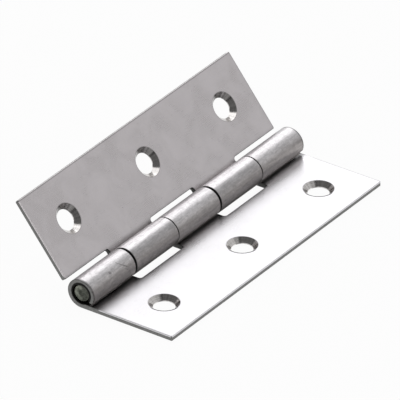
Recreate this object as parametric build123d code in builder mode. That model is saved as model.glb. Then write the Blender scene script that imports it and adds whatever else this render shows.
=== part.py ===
"""Butt hinge: two leaves stamped from steel strip, their tabs rolled into knuckles that share a plain pin."""

import math
import os

from build123d import *

os.makedirs("parts", exist_ok=True)

# Leaves, in millimetres
hinge_length = 75.0  # barrel and base leaf
swing_setback = 0.37  # each end of the swing leaf from the end of the barrel
leaf_reach = 22.6  # pin axis to the free edge
sheet_thickness = 1.2
corner_radius = 0.3  # square corners of the blank, seen from above
edge_break = 0.15  # bevel round the stamped outline, on both faces

# Pin and rolled knuckles
pin_diameter = 3.7
pin_clearance = 0.2  # radial, in every knuckle
pin_recess = 0.4  # pin end below the end of the barrel
pin_chamfer = 0.12
knuckle_count = 5
knuckle_gap = 0.34  # mean gap where two knuckles meet
end_float = 0.18  # the swing leaf has slid this far along the pin within its play
seam_gap = 0.25  # rolled tip to the inner face of its own leaf
tip_radius = 0.55

# Notches that let the other leaf's knuckles turn
base_notch_clearance = 1.1  # barrel to the notch edge
swing_notch_clearance = 0.7
notch_corner_radius = 0.6

# Screw holes
screw_count = 3
screw_pitch = 27.6
screw_line = 13.7  # pin axis to the row of holes
screw_hole_diameter = 4.6
countersink_angle = 90.0
countersink_land = 0.22  # straight wall left under the cone

# Rest pose: 0 is folded with the leaves parallel, 180 is laid flat
opening_angle = 128.5

# Sizes that follow
bore_radius = pin_diameter / 2 + pin_clearance
barrel_radius = bore_radius + sheet_thickness
knuckle_pitch = hinge_length / knuckle_count
tip_angle = -math.degrees(math.asin((bore_radius - seam_gap) / barrel_radius))
roll_angle = 270 - tip_angle
countersink_spread = math.tan(math.radians(countersink_angle / 2))
countersink_radius = screw_hole_diameter / 2 + (sheet_thickness - countersink_land) * countersink_spread

# The pin axis runs along Y, and the base leaf's outer face lies on the XY plane
pin_centre = Vector(0, 0, barrel_radius)
opening = math.radians(opening_angle)
swing_direction = Vector(math.cos(opening), 0, math.sin(opening))

# Each leaf is drawn in its own section plane: x runs to the free edge, y from the outer to the inner face
base_section = Plane(pin_centre, x_dir=(1, 0, 0), z_dir=(0, -1, 0))
swing_section = Plane(pin_centre + Vector(0, end_float, 0), x_dir=swing_direction, z_dir=(0, 1, 0))


def on_circle(radius, angle):
    """Point of the section at an angle round the pin axis."""
    return radius * math.cos(math.radians(angle)), radius * math.sin(math.radians(angle))


def notch_span(number):
    """Ends of the notch round one knuckle, measured from mid-length; the outermost notches run off the leaf."""
    low = number * knuckle_pitch - hinge_length / 2 - knuckle_gap / 2
    high = low + knuckle_pitch + knuckle_gap
    if number == 0:
        low -= knuckle_pitch
    if number == knuckle_count - 1:
        high += knuckle_pitch
    return low, high


def rolled_leaf(section, length, notches, notch_clearance):
    """One leaf, with a notch at each of the knuckles that belong to the other leaf."""
    notch_reach = barrel_radius + notch_clearance
    face = Plane(section.origin, x_dir=section.x_dir, z_dir=section.y_dir)
    to_inner_face = Axis(section.origin, section.y_dir)
    along_pin = Axis(section.origin, section.z_dir)

    with BuildPart() as leaf:
        # Strip in section: flat from the free edge to under the pin, then rolled over it to the tip
        with BuildSketch(section) as profile:
            with BuildLine():
                outer_face = Line((leaf_reach, -barrel_radius), (0, -barrel_radius))
                CenterArc((0, 0), barrel_radius, -90, -roll_angle)
                tip = Line(on_circle(barrel_radius, tip_angle), on_circle(bore_radius, tip_angle))
                CenterArc((0, 0), bore_radius, tip_angle, roll_angle)
                inner_face = Line((0, -bore_radius), (leaf_reach, -bore_radius))
                Line(inner_face @ 1, outer_face @ 0)
            make_face()
            fillet(profile.vertices().sort_by_distance(tip @ 0.5)[:2], tip_radius)
        extrude(amount=length / 2, both=True)

        # Notches, cut through leaf and barrel
        with BuildSketch(face) as outline:
            for number in notches:
                low, high = notch_span(number)
                with Locations((notch_reach, (low + high) / 2)):
                    Rectangle(2 * notch_reach, high - low, align=(Align.MAX, Align.CENTER))
            fillet(outline.vertices().group_by(Axis.X)[-1], notch_corner_radius)
        extrude(amount=2 * barrel_radius, both=True, mode=Mode.SUBTRACT)

        # Corners of the blank, then the bevel all round its outline
        ends = leaf.edges().filter_by(to_inner_face).group_by(along_pin)
        fillet(ends[0] + ends[-1], corner_radius)
        rolled_rims = leaf.edges().filter_by(GeomType.CIRCLE).filter_by(section)
        chamfer(rolled_rims, edge_break)

        # Row of countersunk holes in the inner face
        with Locations(face.offset(-bore_radius)):
            with Locations((screw_line, 0)):
                with GridLocations(screw_pitch, screw_pitch, 1, screw_count):
                    CounterSinkHole(
                        screw_hole_diameter / 2,
                        countersink_radius,
                        counter_sink_angle=countersink_angle,
                    )
    return leaf


base_leaf = rolled_leaf(base_section, hinge_length, range(1, knuckle_count, 2), base_notch_clearance)
base_leaf.part.label = "base_leaf"
export_step(base_leaf.part, "parts/base_leaf.step")

swing_length = hinge_length - 2 * swing_setback
swing_leaf = rolled_leaf(swing_section, swing_length, range(0, knuckle_count, 2), swing_notch_clearance)
swing_leaf.part.label = "swing_leaf"
export_step(swing_leaf.part, "parts/swing_leaf.step")

with BuildPart() as hinge_pin:
    with BuildSketch(base_section):
        Circle(pin_diameter / 2)
    extrude(amount=hinge_length / 2 - pin_recess, both=True)
    chamfer(hinge_pin.edges().filter_by(GeomType.CIRCLE), pin_chamfer)
hinge_pin.part.label = "hinge_pin"
export_step(hinge_pin.part, "parts/hinge_pin.step")
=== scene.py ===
import math
from types import SimpleNamespace
from typing import NamedTuple

import bpy
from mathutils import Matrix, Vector

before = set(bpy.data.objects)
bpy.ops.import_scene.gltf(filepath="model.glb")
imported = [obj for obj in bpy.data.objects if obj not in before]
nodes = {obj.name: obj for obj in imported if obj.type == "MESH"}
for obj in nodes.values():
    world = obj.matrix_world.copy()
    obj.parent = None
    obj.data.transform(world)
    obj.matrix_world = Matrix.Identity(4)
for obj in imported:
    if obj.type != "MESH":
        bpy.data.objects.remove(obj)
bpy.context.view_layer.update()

# The hinge's own sizes, in millimetres, as the solids have them
END = 37.5  # mid-length to the end of the barrel
SETBACK = 0.37  # ends of the swing leaf from the ends of the barrel
END_FLOAT = 0.18  # the swing leaf has slid this far along the pin
LEAF_REACH = 22.6  # pin axis to the free edge
SHEET = 1.2
PIN_R = 1.85
BORE_R = 2.05
BARREL_R = 3.25
KNUCKLE = 15.0
BASE_NOTCH = BARREL_R + 1.1  # pin axis to the bottom of the notches
SWING_NOTCH = BARREL_R + 0.7
SEAM_GAP = 0.25  # rolled tip to its own leaf
TIP_R = BARREL_R - SHEET / 2  # middle of the rolled tip
TIP_ANGLE = -math.asin((BORE_R - SEAM_GAP) / BARREL_R)
SCREW_LINE = 13.7
SCREW_PITCH = 27.6
CONE_R = 3.28  # outer edge of the countersinks
OPENING = math.radians(128.5)
METRE = 1000.0  # millimetres

# Directions at rest
RIGHT, ALONG, UP = (1.0, 0.0, 0.0), (0.0, 1.0, 0.0), (0.0, 0.0, 1.0)
SWING_WAY = (math.cos(OPENING), 0.0, math.sin(OPENING))
SWING_INNER = (math.sin(OPENING), 0.0, -math.cos(OPENING))

# Scratches and a dent on the first knuckle: start, end and width. A place is a height above the pin and a
# distance along it.
KNUCKLE_MARKS = (
    ((2.85, -27.3), (1.5, -25.3), 0.15),
    ((1.35, -26.1), (0.9, -25.3), 0.12),
    ((2.35, -30.6), (2.25, -30.3), 0.3),
)

# Colours of the steel, dark and light
BASE_SKIN = ((0.715, 0.705, 0.725, 1.0), (0.77, 0.76, 0.785, 1.0))
SWING_SKIN = ((0.7, 0.665, 0.675, 1.0), (0.785, 0.745, 0.76, 1.0))
# The barrel's dark colour is painted below and its light one on top, where the highlight lies
BARREL_SKIN = ((0.735, 0.69, 0.68, 1.0), (0.765, 0.745, 0.76, 1.0))
TORN_STEEL = ((0.155, 0.155, 0.15, 1.0), (0.26, 0.26, 0.255, 1.0))
TURNED_STEEL = ((0.5, 0.48, 0.47, 1.0), (0.68, 0.66, 0.65, 1.0))
PIN_END = ((0.075, 0.08, 0.066, 1.0), (0.19, 0.2, 0.17, 1.0))
PIN_SIDE = (0.06, 0.058, 0.052)

# Wear, oil and painted shade on both leaves, as tones of which 1 is plain steel
BARREL_TONE = 0.5
BARREL_END_TONE = 0.4
CREASE_SHADE_TONE = 0.3  # painted shade and reflection of the barrel on the flat leaf beside it, with some oil
CREASE_FADE = 1.7  # millimetres over which that painted shade and oil thin out
CREASE_SLANT = 0.01  # the painted shade and oil narrow towards the far end
RIM_SHADE_TONE = 0.7  # painted shade all round the countersinks' rims
NEAR_SIDE = -55.0  # degrees round a screw, towards the camera
# painted shade on the cut faces inside the notches
NOTCH_WALL_SHADE = 0.27
# painted shade round the bore, on the knuckles' cut faces
BORE_SHADE_TONE = 0.06

# Roughness, and depth of the relief in metres
OILY_ROUGHNESS = 0.85
TORN_ROUGHNESS = 0.5
TURNED_ROUGHNESS = 0.16
STEEL_RELIEF = 0.000012
PIN_RELIEF = 0.00005

# Shading of the edges
JOIN_DISTANCE = 1e-6  # metres
CRISP_ANGLE = math.radians(30.0)  # edges of the countersinks above this stay crisp
PLANAR_ANGLE = math.radians(0.2)

# The photograph's camera
AZIMUTH = math.radians(35.094)
ELEVATION = math.radians(30.737)
CAMERA_AIM = Vector((3.06, 0.12, 8.107)) / METRE
CAMERA_DISTANCE = 1.69517
LENS = 745.59
SENSOR = 36.0
CLIP = (0.1, 20.0)

# Surroundings, in metres
FLOOR_HALF = 3.0
FLOOR_DROP = 0.00002  # below the seating face
FLOOR_COLOUR = (0.9, 0.9, 0.9, 1.0)
FLOOR_WHITE = 0.95  # share of white that the camera sees
WINDOW_WAY = Vector((-0.5, 0.70, 0.50)).normalized()
WINDOW_DISTANCE = 1.3
WINDOW_SIZE = (1.2, 0.9)
WINDOW_POWER = 1.0
WORLD_WHITE = (1.0, 1.0, 1.0, 1.0)
FRONT_LEVEL = 0.16
GREY_LEVELS = (0.34, 0.555)  # low and high up, to the right
BACK_LEFT_LEVEL = 1.2
STRIP_WAY = Vector((0.8, -0.12, 0.58)).normalized()


class Leaf(NamedTuple):
    """One leaf at rest, and the tones that rolling, wear and oil have left on it, with painted shade,
    reflection and highlights: 1 is plain steel.
    """

    name: str
    direction: tuple  # from the pin to the free edge
    inner: tuple  # out of the inner face
    slide: float  # along the pin
    far_end: float  # mid-length to its far end
    notch_edge: float  # pin axis to the bottom of its notches
    middle_notch: bool  # the middle knuckle is the other leaf's
    skin: tuple  # darkest and lightest colour of the flat sheet
    crease: float  # reach at which the painted shade and oil along the barrel start to thin out
    crease_tail: tuple  # tone where that painted shade and oil thin out, at the near and the far end
    notch_reflection_tone: float  # painted reflection of the barrel's dark underside along the notches
    far_shade_tone: float  # painted shade along the far end
    free_shade_tone: float  # painted shade along the free edge
    near_rim_shade: float  # painted shade on the near side of the countersinks' rims
    burr: float  # bright burr of the cut faces, down from the inner face
    underside_shade: float  # painted shade on the front of the barrel, below the pin
    flank_light: float  # painted light and shade on the barrel to the left of the pin
    shoulder_highlight: float  # painted highlight on the barrel above the pin
    shoulder_top: float  # height above the pin at which the shoulder has its full tone
    crown_highlight: float  # painted highlight on the top of the barrel, and on its bottom for the opened leaf
    marks: tuple  # scratches and dents on the barrel
    cone_sectors: tuple  # painted light and shade round the countersinks: angle round the screw, cosines between which the tone changes, and the tone


class Nodes:
    """The nodes of a material, a world or a geometry group, made with short calls on sockets and numbers."""

    def __init__(self, owner):
        if not isinstance(owner, bpy.types.NodeTree):
            owner.use_nodes = True
        self.owner = owner
        self.tree = owner if isinstance(owner, bpy.types.NodeTree) else owner.node_tree
        self.tree.nodes.clear()

    def node(self, kind, **settings):
        made = self.tree.nodes.new(kind)
        for key, value in settings.items():
            setattr(made, key, value)
        return made

    def feed(self, socket, value):
        if isinstance(value, bpy.types.NodeSocket):
            self.tree.links.new(value, socket)
        else:
            socket.default_value = value

    def math(self, operation, *values, clamp=False):
        made = self.node("ShaderNodeMath", operation=operation, use_clamp=clamp)
        for socket, value in zip(made.inputs, values):
            self.feed(socket, value)
        return made.outputs[0]

    def chain(self, operation, first, *others):
        for value in others:
            first = self.math(operation, first, value)
        return first

    def product(self, *values):
        return self.chain("MULTIPLY", *values)

    def total(self, *values):
        return self.chain("ADD", *values)

    def largest(self, *values):
        return self.chain("MAXIMUM", *values)

    def vector(self, operation, a, b):
        made = self.node("ShaderNodeVectorMath", operation=operation)
        self.feed(made.inputs[0], a)
        self.feed(made.inputs["Scale" if operation == "SCALE" else 1], b)
        return made.outputs["Value" if operation == "DOT_PRODUCT" else "Vector"]

    def dot(self, a, b):
        return self.vector("DOT_PRODUCT", a, b)

    def length(self, a, b):
        return self.math("SQRT", self.total(self.product(a, a), self.product(b, b)))

    def combine(self, x, y, z):
        made = self.node("ShaderNodeCombineXYZ")
        for socket, value in zip(made.inputs, (x, y, z)):
            self.feed(socket, value)
        return made.outputs[0]

    def step(self, value, start, end, low=0.0, high=1.0):
        """Smooth change from low to high as value goes from start to end, in either direction."""
        made = self.node("ShaderNodeMapRange", interpolation_type="SMOOTHSTEP")
        self.feed(made.inputs["Value"], value)
        if start > end:
            start, end, low, high = end, start, high, low
        for key, setting in (("From Min", start), ("From Max", end), ("To Min", low), ("To Max", high)):
            self.feed(made.inputs[key], setting)
        return made.outputs[0]

    def noise(self, at, scale, detail, roughness, distortion=0.0):
        """Noise whose scale is one number, or one for each axis."""
        if isinstance(scale, tuple):
            at, scale = self.vector("MULTIPLY", at, scale), 1.0
        made = self.node("ShaderNodeTexNoise")
        self.feed(made.inputs["Vector"], at)
        self.feed(made.inputs["Scale"], scale)
        self.feed(made.inputs["Detail"], detail)
        self.feed(made.inputs["Roughness"], roughness)
        self.feed(made.inputs["Distortion"], distortion)
        return made.outputs["Fac"]

    def blend(self, factor, a, b):
        """Colour a where factor is 0, b where it is 1."""
        made = self.node("ShaderNodeMix", data_type="RGBA")
        self.feed(made.inputs[0], factor)
        self.feed(made.inputs[6], a)
        self.feed(made.inputs[7], b)
        return made.outputs[2]

    def mix(self, factor, a, b):
        """Number a where factor is 0, b where it is 1."""
        made = self.node("ShaderNodeMix", data_type="FLOAT")
        self.feed(made.inputs[0], factor)
        self.feed(made.inputs[2], a)
        self.feed(made.inputs[3], b)
        return made.outputs[0]

    def scaled(self, colour, factor):
        return self.vector("SCALE", colour, factor)

    def metal(self, colour, roughness, relief, depth):
        bump = self.node("ShaderNodeBump")
        self.feed(bump.inputs["Strength"], 1.0)
        self.feed(bump.inputs["Distance"], depth)
        self.feed(bump.inputs["Height"], relief)
        made = self.node("ShaderNodeBsdfPrincipled")
        self.feed(made.inputs["Base Color"], colour)
        self.feed(made.inputs["Metallic"], 1.0)
        self.feed(made.inputs["Roughness"], roughness)
        self.feed(made.inputs["Normal"], bump.outputs[0])
        out = self.node("ShaderNodeOutputMaterial")
        self.feed(out.inputs[0], made.outputs[0])
        return self.owner


def round_screw(s, reach, along):
    """Number of the nearest screw hole, and the place round its axis."""
    screw = s.math("ROUND", s.math("DIVIDE", along, SCREW_PITCH))
    hole_x = s.math("SUBTRACT", reach, SCREW_LINE)
    hole_y = s.math("SUBTRACT", along, s.product(screw, SCREW_PITCH))
    return screw, hole_x, hole_y, s.length(hole_x, hole_y)


def screw_side(s, at, angle):
    """1 on the side of a screw's axis at the angle, in degrees from the free edge, and -1 opposite."""
    x_share = s.product(at.hole_x, math.cos(math.radians(angle)))
    y_share = s.product(at.hole_y, math.sin(math.radians(angle)))
    return s.math("DIVIDE", s.total(x_share, y_share), at.hole_r)


def scratch(s, across, along, start, end, width):
    """Thin mark from start to end on the surface that across and along measure."""
    way = (end[0] - start[0], end[1] - start[1])
    span = way[0] ** 2 + way[1] ** 2
    x = s.math("SUBTRACT", across, start[0])
    y = s.math("SUBTRACT", along, start[1])
    share = s.math("ADD", s.product(x, way[0] / span), s.product(y, way[1] / span), clamp=True)
    off_x = s.math("SUBTRACT", x, s.product(share, way[0]))
    off_y = s.math("SUBTRACT", y, s.product(share, way[1]))
    return s.step(s.length(off_x, off_y), width, width * 0.3)


def leaf_places(s, leaf):
    """Where a point of the leaf lies, in millimetres from the pin's middle, which way its face looks, and the
    grain of the steel there."""
    coordinates = s.node("ShaderNodeTexCoord")
    place = s.vector("SCALE", coordinates.outputs["Object"], METRE)
    place = s.vector("SUBTRACT", place, (0.0, leaf.slide, BARREL_R))
    normal = coordinates.outputs["Normal"]
    at = SimpleNamespace()
    at.reach = s.dot(place, leaf.direction)
    at.along = s.dot(place, ALONG)
    at.height = s.dot(place, leaf.inner)
    at.rise = s.dot(place, UP)
    at.right = s.dot(place, RIGHT)
    at.reach_n = s.dot(normal, leaf.direction)
    at.along_n = s.math("ABSOLUTE", s.dot(normal, ALONG))
    at.height_n = s.dot(normal, leaf.inner)
    at.radius = s.length(at.reach, at.height)
    at.depth = s.math("SUBTRACT", -BORE_R, at.height)  # from the inner face
    at.off_middle = s.math("ABSOLUTE", at.along)
    at.barrel = s.step(at.radius, BARREL_R + 0.12, BARREL_R + 0.03)
    at.inner_face = s.step(at.height_n, 0.3, 0.7)
    at.screw, at.hole_x, at.hole_y, at.hole_r = round_screw(s, at.reach, at.along)

    # Lines run along the strip, parallel to the pin; torn marks run across the sheet
    section = s.combine(at.reach, at.along, at.height)
    at.lines = s.noise(section, (7.0, 0.16, 7.0), 1.5, 0.6)
    at.fine = s.noise(section, (16.0, 0.5, 16.0), 1.0, 0.5)
    at.drawn = s.noise(section, (3.2, 0.3, 3.2), 4.0, 0.6, 0.3)
    at.scuff = s.noise(section, (1.6, 0.9, 1.6), 6.0, 0.7, 0.6)
    at.torn = s.noise(section, (6.6, 6.6, 1.98), 4.0, 0.65)
    at.mottle = s.noise(section, 0.16, 4.0, 0.55, 0.5)
    at.grain = s.noise(section, 5.5, 1.5, 0.6)
    return at


def cut_faces(s, at, leaf):
    """1 on the sheared faces: the leaf's ends and edges below their burr, the knuckles' sides, the notches
    and the rolled tip."""
    edge_n = s.product(s.math("ABSOLUTE", at.reach_n), s.step(at.reach, BARREL_R + 0.15, BARREL_R + 0.55))
    below_burr = s.step(at.depth, leaf.burr - 0.06, leaf.burr + 0.06)
    edges = s.product(s.step(s.largest(at.along_n, edge_n), 0.35, 0.5), below_burr)

    bore_edge = s.product(s.step(at.along_n, 0.15, 0.35), s.step(at.radius, BORE_R + 0.7, BORE_R + 0.5))
    near_barrel = s.step(at.reach, BARREL_R + 1.75, BARREL_R + 0.95)
    knuckles = s.product(s.largest(bore_edge, s.step(at.along_n, 0.6, 0.85)), near_barrel)
    notches = s.product(s.step(edge_n, 0.2, 0.4), s.step(at.reach, BARREL_R + 2.75, BARREL_R + 1.75))

    tip_x = s.math("SUBTRACT", at.reach, TIP_R * math.cos(TIP_ANGLE))
    tip_z = s.math("SUBTRACT", at.height, TIP_R * math.sin(TIP_ANGLE))
    tip_n = s.total(s.product(at.reach_n, math.sin(TIP_ANGLE)), s.product(at.height_n, -math.cos(TIP_ANGLE)))
    tip = s.product(s.step(s.length(tip_x, tip_z), 0.85, 0.75), s.step(tip_n, 0.6, 0.85))
    return s.largest(edges, tip, knuckles, notches)


def flat_tone(s, at, leaf):
    """Tone of the flat inner face: painted shade and reflection of the barrel in the crease along it, with
    some oil, and painted shade on the rolled edges and the countersinks' rims.
    """
    # Painted shade and reflection of the barrel on the flat leaf, with some oil, in the crease along the
    # barrel
    from_crease = s.math("MULTIPLY_ADD", at.along, CREASE_SLANT, at.reach)
    ragged = s.total(from_crease, s.mix(at.scuff, -0.4, 0.4))
    crease_shade_and_oil = s.step(ragged, leaf.crease, leaf.crease + CREASE_FADE, CREASE_SHADE_TONE, 1.0)
    tail = s.mix(s.step(from_crease, 4.0, 7.5), s.step(at.along, -25.0, 10.0, *leaf.crease_tail), 1.0)

    outer_notch = s.product(s.step(at.off_middle, KNUCKLE * 0.5 - 0.2, KNUCKLE * 0.5 + 0.2),
                            s.step(at.off_middle, KNUCKLE * 1.5 + 0.2, KNUCKLE * 1.5 - 0.2))
    notched = s.math("SUBTRACT", 1.0, outer_notch) if leaf.middle_notch else outer_notch
    # Painted reflection of the barrel's dark underside along the notches' edges
    along_notch = s.product(s.step(at.reach, leaf.notch_edge + 0.75, leaf.notch_edge + 0.2), notched)
    # Painted shade along the far end and the free edge
    far_edge = s.step(at.along, leaf.far_end - 0.45, leaf.far_end - 0.15, 1.0, leaf.far_shade_tone)
    free_edge = s.step(at.reach, LEAF_REACH - 0.45, LEAF_REACH - 0.15, 1.0, leaf.free_shade_tone)

    # Painted shade on the countersinks' rims, darkest on their near side
    rim = s.step(at.hole_r, CONE_R + 0.16, CONE_R + 0.08, 1.0, RIM_SHADE_TONE)
    near_rim = s.product(s.step(at.hole_r, CONE_R + 0.26, CONE_R + 0.2),
                         s.step(screw_side(s, at, NEAR_SIDE), 0.45, 0.75))
    return s.product(crease_shade_and_oil, tail, s.mix(along_notch, 1.0, leaf.notch_reflection_tone), far_edge, free_edge, rim,
                     s.mix(near_rim, 1.0, leaf.near_rim_shade))


def barrel_tone(s, at, leaf, shaded):
    """Tone of the rolled barrel: painted highlights on top and at the bottom, painted shade at the front
    below the pin, painted light and shade to the left of it, darker ends, scuffs and marks.
    """
    # Painted shade at the front, painted highlights on the shoulder, crown and bottom, painted light and
    # shade to the left
    tone = s.product(s.mix(shaded, BARREL_TONE, leaf.underside_shade),
                     s.step(at.rise, 1.25, leaf.shoulder_top, 1.0, leaf.shoulder_highlight),
                     s.step(at.rise, 2.95, 3.22, 1.0, leaf.crown_highlight),
                     s.step(at.rise, -2.5, -3.0, 1.0, leaf.shoulder_highlight * leaf.crown_highlight),
                     s.step(at.right, -0.3, -0.8, 1.0, leaf.flank_light),
                     s.step(at.off_middle, END - 0.55, END - 0.3, 1.0, BARREL_END_TONE),
                     s.mix(at.scuff, 0.45, 1.55),
                     s.mix(at.grain, 0.85, 1.15),
                     s.step(at.drawn, 0.3, 0.7, 0.9, 1.1))
    for start, end, width in leaf.marks:
        mark = s.product(scratch(s, at.rise, at.along, start, end, width), s.step(at.right, 0.0, 0.5))
        tone = s.product(tone, s.mix(mark, 1.0, s.mix(at.scuff, 0.2, 1.0)))
    return tone


def torn_colour(s, at, leaf):
    """Dark, torn steel of the cut faces, with painted shade in the notches and a ring of painted shade round
    the bore.
    """
    colour = s.blend(s.step(at.torn, 0.3, 0.7), *TORN_STEEL)
    in_notch = s.product(s.step(at.depth, -0.3, -0.1),
                         s.step(at.reach, 1.6, 2.0),
                         s.step(at.reach, leaf.notch_edge + 0.4, leaf.notch_edge + 0.2),
                         s.step(at.off_middle, END - 1.0, END - 1.5))
    round_bore = s.length(s.math("SUBTRACT", at.reach, 0.15), s.math("SUBTRACT", at.height, 0.15))
    # Painted shade in a ring round the bore, thicker on one side
    oily = s.step(round_bore, BORE_R + 0.31, BORE_R + 0.55, BORE_SHADE_TONE, 1.0)
    return s.scaled(colour, s.product(s.mix(in_notch, 1.0, NOTCH_WALL_SHADE), oily))


def turned_cone(s, at, leaf):
    """Colour and relief of the countersinks: turned rings, chatter, and sectors of painted light and shade.
    """
    rings = s.noise(s.combine(s.product(at.hole_r, 9.0), s.product(at.screw, 5.0), 0.0), 1.0, 2.0, 0.6)
    x_share = s.math("DIVIDE", s.product(at.hole_x, 6.0), at.hole_r)
    y_share = s.math("DIVIDE", s.product(at.hole_y, 6.0), at.hole_r)
    chatter = s.noise(s.combine(x_share, y_share, at.screw), 1.0, 3.0, 0.6)
    colour = s.blend(s.step(rings, 0.35, 0.65), *TURNED_STEEL)
    colour = s.scaled(colour, s.step(chatter, 0.3, 0.7, 0.75, 1.1))
    # Painted light and shade in sectors round each screw
    for angle, start, end, tone in leaf.cone_sectors:
        colour = s.scaled(colour, s.step(screw_side(s, at, angle), start, end, 1.0, tone))
    return colour, rings


def leaf_steel(leaf):
    """Cold-rolled steel of one leaf: flat skin, rolled barrel, cut faces and countersinks."""
    s = Nodes(bpy.data.materials.new(leaf.name))
    at = leaf_places(s, leaf)
    cut = cut_faces(s, at, leaf)
    cone = s.product(s.step(at.hole_r, CONE_R + 0.01, CONE_R - 0.02), s.step(at.height_n, -0.6, -0.4))
    # Painted shade on the front of the barrel below the pin, which is also matt with oil
    shaded = s.product(s.step(at.rise, 0.3, -1.6), s.step(at.right, 1.9, 2.25))

    flat = s.blend(s.step(at.mottle, 0.3, 0.7), *leaf.skin)
    flat = s.scaled(flat, s.mix(at.lines, 0.98, 1.02))
    # The barrel is painted darker and warmer below and lighter on top, where its highlight lies
    rolled = s.blend(s.step(at.rise, 1.0, 3.0), *BARREL_SKIN)
    face_tone = s.mix(at.inner_face, 1.0, flat_tone(s, at, leaf))
    skin_tone = s.mix(at.barrel, face_tone, barrel_tone(s, at, leaf, shaded))
    skin = s.scaled(s.blend(at.barrel, flat, rolled), skin_tone)
    bored, rings = turned_cone(s, at, leaf)
    colour = s.blend(cone, s.blend(cut, skin, torn_colour(s, at, leaf)), bored)

    flat_roughness = s.total(s.mix(at.mottle, 0.24, 0.34), s.mix(at.lines, -0.04, 0.04))
    rolled_roughness = s.mix(shaded, s.mix(at.scuff, 0.28, 0.46), OILY_ROUGHNESS)
    roughness = s.mix(at.barrel, flat_roughness, rolled_roughness)
    roughness = s.mix(cone, s.mix(cut, roughness, TORN_ROUGHNESS), TURNED_ROUGHNESS)

    relief = s.total(s.product(at.lines, 0.2), s.product(at.fine, 0.08), s.product(at.grain, 0.1),
                     s.product(at.scuff, at.barrel, 3.0))
    relief = s.mix(cut, relief, s.product(at.torn, 3.0))
    relief = s.mix(cone, relief, s.product(rings, 1.2))
    return s.metal(colour, roughness, relief, STEEL_RELIEF)


def pin_steel(name):
    """Drawn wire: oily along its side and round the rim, dull and mottled on the cut ends."""
    s = Nodes(bpy.data.materials.new(name))
    place = s.vector("SCALE", s.node("ShaderNodeTexCoord").outputs["Object"], METRE)
    place = s.vector("SUBTRACT", place, (0.0, 0.0, BARREL_R))
    right = s.dot(place, RIGHT)
    radius = s.length(right, s.dot(place, UP))
    face = s.step(radius, PIN_R - 0.06, PIN_R - 0.16)
    mottle = s.noise(place, 1.3, 5.0, 0.65, 0.8)
    grain = s.noise(place, 6.0, 3.0, 0.6)
    dull = s.blend(s.step(mottle, 0.35, 0.65), *PIN_END)
    burr = s.product(s.step(radius, 0.5, 1.2), s.step(right, 0.4, -0.3))
    dull = s.scaled(dull, s.product(s.mix(grain, 0.8, 1.2), s.mix(burr, 0.6, 1.5)))
    oily = s.scaled(PIN_SIDE, s.mix(grain, 0.7, 1.3))
    roughness = s.mix(face, 0.4, s.mix(mottle, 0.4, 0.55))
    relief = s.total(mottle, s.product(grain, 0.5))
    return s.metal(s.blend(face, oily, dull), roughness, relief, PIN_RELIEF)


def soft_edges(node, direction, slide):
    """Rounds the look of the bevels and keeps the countersinks crisp: the split skins are joined, coplanar
    facets too, and large faces keep their own normals."""
    group = bpy.data.node_groups.new(node.name + "_skin", "GeometryNodeTree")
    for way in ("INPUT", "OUTPUT"):
        group.interface.new_socket("Geometry", in_out=way, socket_type="NodeSocketGeometry")
    g = Nodes(group)
    source = g.node("NodeGroupInput")
    joined = g.node("GeometryNodeMergeByDistance")
    g.feed(joined.inputs["Geometry"], source.outputs[0])
    g.feed(joined.inputs["Distance"], JOIN_DISTANCE)
    faces = g.node("GeometryNodeSetShadeSmooth", domain="FACE")
    g.feed(faces.inputs["Geometry"], joined.outputs[0])
    place = g.vector("SCALE", g.node("GeometryNodeInputPosition").outputs[0], METRE)
    place = g.vector("SUBTRACT", place, (0.0, slide, BARREL_R))
    hole_r = round_screw(g, g.dot(place, direction), g.dot(place, ALONG))[-1]
    angle = g.node("GeometryNodeInputMeshEdgeAngle").outputs["Unsigned Angle"]
    away = g.math("GREATER_THAN", hole_r, CONE_R + 0.05)
    smooth = g.largest(away, g.math("LESS_THAN", angle, CRISP_ANGLE))
    edges = g.node("GeometryNodeSetShadeSmooth", domain="EDGE")
    g.feed(edges.inputs["Geometry"], faces.outputs[0])
    g.feed(edges.inputs["Shade Smooth"], smooth)
    result = g.node("NodeGroupOutput")
    g.feed(result.inputs[0], edges.outputs[0])
    node.modifiers.new("joined_skin", "NODES").node_group = group
    planar = node.modifiers.new("planar", "DECIMATE")
    planar.decimate_type = "DISSOLVE"
    planar.angle_limit = PLANAR_ANGLE
    weighted = node.modifiers.new("weighted_normal", "WEIGHTED_NORMAL")
    weighted.mode = "FACE_AREA"
    weighted.weight = 100
    weighted.keep_sharp = True


def dress(node, material, direction, slide):
    node.data.materials.clear()
    node.data.materials.append(material)
    soft_edges(node, direction, slide)


def white_floor():
    """Pale floor that the camera sees as white, with a faint shadow."""
    h = FLOOR_HALF
    mesh = bpy.data.meshes.new("floor")
    mesh.from_pydata([(-h, -h, 0), (h, -h, 0), (h, h, 0), (-h, h, 0)], [], [(0, 1, 2, 3)])
    floor = bpy.data.objects.new("floor", mesh)
    floor.location.z = -FLOOR_DROP
    bpy.context.scene.collection.objects.link(floor)
    s = Nodes(bpy.data.materials.new("floor_paper"))
    matte = s.node("ShaderNodeBsdfDiffuse")
    s.feed(matte.inputs["Color"], FLOOR_COLOUR)
    white = s.node("ShaderNodeEmission")
    ray = s.node("ShaderNodeLightPath").outputs
    seen = s.largest(ray["Is Camera Ray"], ray["Is Glossy Ray"], ray["Is Transmission Ray"])
    both = s.node("ShaderNodeMixShader")
    s.feed(both.inputs[0], s.product(seen, FLOOR_WHITE))
    s.feed(both.inputs[1], matte.outputs[0])
    s.feed(both.inputs[2], white.outputs[0])
    out = s.node("ShaderNodeOutputMaterial")
    s.feed(out.inputs[0], both.outputs[0])
    mesh.materials.append(s.owner)


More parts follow.
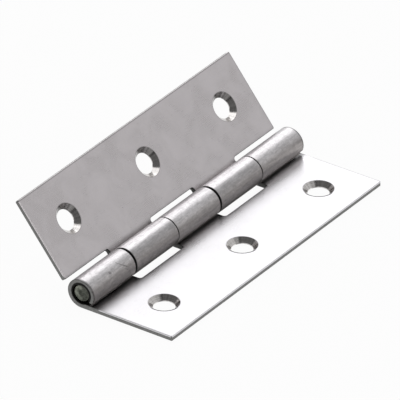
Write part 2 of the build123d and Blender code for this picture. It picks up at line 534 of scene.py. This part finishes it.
def studio_world():
    """Dim room in front, grey to the right and the back, a broad soft light overhead and to the back left,
    and a strip light on the right that picks out the edges."""
    world = bpy.data.worlds.new("studio")
    bpy.context.scene.world = world
    s = Nodes(world)
    way = s.node("ShaderNodeTexCoord").outputs["Generated"]
    parts = s.node("ShaderNodeSeparateXYZ")
    s.feed(parts.inputs[0], way)
    x, y, z = parts.outputs
    grey = s.step(z, -0.1, 0.3, *GREY_LEVELS)
    back = s.mix(s.step(x, 0.2, -0.05), grey, BACK_LEFT_LEVEL)
    room = s.mix(s.step(y, -0.14, -0.04), FRONT_LEVEL, back)
    strip = s.step(s.dot(way, STRIP_WAY), 0.92, 0.97)
    light = s.node("ShaderNodeBackground")
    s.feed(light.inputs["Color"], WORLD_WHITE)
    s.feed(light.inputs["Strength"], s.total(room, strip))
    out = s.node("ShaderNodeOutputWorld")
    s.feed(out.inputs[0], light.outputs[0])


def window_light():
    """Soft light behind and to the left, which the flat leaf and the top of the barrel reflect."""
    data = bpy.data.lights.new("window", "AREA")
    data.shape = "RECTANGLE"
    data.size, data.size_y = WINDOW_SIZE
    data.energy = WINDOW_POWER
    lamp = bpy.data.objects.new("window", data)
    lamp.location = WINDOW_WAY * WINDOW_DISTANCE
    lamp.rotation_mode = "QUATERNION"
    lamp.rotation_quaternion = WINDOW_WAY.to_track_quat("Z", "Y")
    lamp.visible_camera = False
    bpy.context.scene.collection.objects.link(lamp)


def photo_camera():
    level = math.cos(ELEVATION)
    back = Vector((level * math.sin(AZIMUTH), -level * math.cos(AZIMUTH), math.sin(ELEVATION)))
    data = bpy.data.cameras.new("camera")
    data.sensor_width = SENSOR
    data.lens = LENS
    data.clip_start, data.clip_end = CLIP
    camera = bpy.data.objects.new("camera", data)
    camera.location = CAMERA_AIM + back * CAMERA_DISTANCE
    camera.rotation_mode = "QUATERNION"
    camera.rotation_quaternion = (-back).to_track_quat("-Z", "Y")
    bpy.context.scene.collection.objects.link(camera)
    bpy.context.scene.camera = camera


base_leaf = Leaf(
    name="base_leaf_steel",
    direction=RIGHT,
    inner=UP,
    slide=0.0,
    far_end=END,
    notch_edge=BASE_NOTCH,
    middle_notch=False,
    skin=BASE_SKIN,
    crease=3.3,
    crease_tail=(0.9, 1.25),
    notch_reflection_tone=0.65,
    far_shade_tone=0.55,
    free_shade_tone=1.0,
    near_rim_shade=0.08,
    burr=0.32,
    underside_shade=0.7,
    flank_light=0.72,
    shoulder_highlight=1.6,
    shoulder_top=2.1,
    crown_highlight=1.25,
    marks=KNUCKLE_MARKS,
    cone_sectors=((0.0, 0.8, 0.93, 0.4), (145.0, 0.95, 0.995, 0.5), (182.0, 0.85, 0.96, 1.4)),
)
swing_leaf = Leaf(
    name="swing_leaf_steel",
    direction=SWING_WAY,
    inner=SWING_INNER,
    slide=END_FLOAT,
    far_end=END - SETBACK,
    notch_edge=SWING_NOTCH,
    middle_notch=True,
    skin=SWING_SKIN,
    crease=2.65,
    crease_tail=(1.0, 1.0),
    notch_reflection_tone=0.9,
    far_shade_tone=0.6,
    free_shade_tone=0.6,
    near_rim_shade=1.0,
    burr=0.28,
    underside_shade=0.14,
    flank_light=1.4,
    shoulder_highlight=1.25,
    shoulder_top=1.75,
    crown_highlight=1.7,
    marks=(),
    cone_sectors=((0.0, 0.6, 0.9, 0.4), (60.0, 0.9, 0.98, 0.35), (165.0, 0.85, 0.97, 1.45)),
)

dress(nodes["base_leaf"], leaf_steel(base_leaf), base_leaf.direction, base_leaf.slide)
dress(nodes["swing_leaf"], leaf_steel(swing_leaf), swing_leaf.direction, swing_leaf.slide)
dress(nodes["hinge_pin"], pin_steel("wire_pin_steel"), RIGHT, 0.0)

white_floor()
studio_world()
window_light()
photo_camera()
bpy.context.scene.view_settings.view_transform = "Standard"
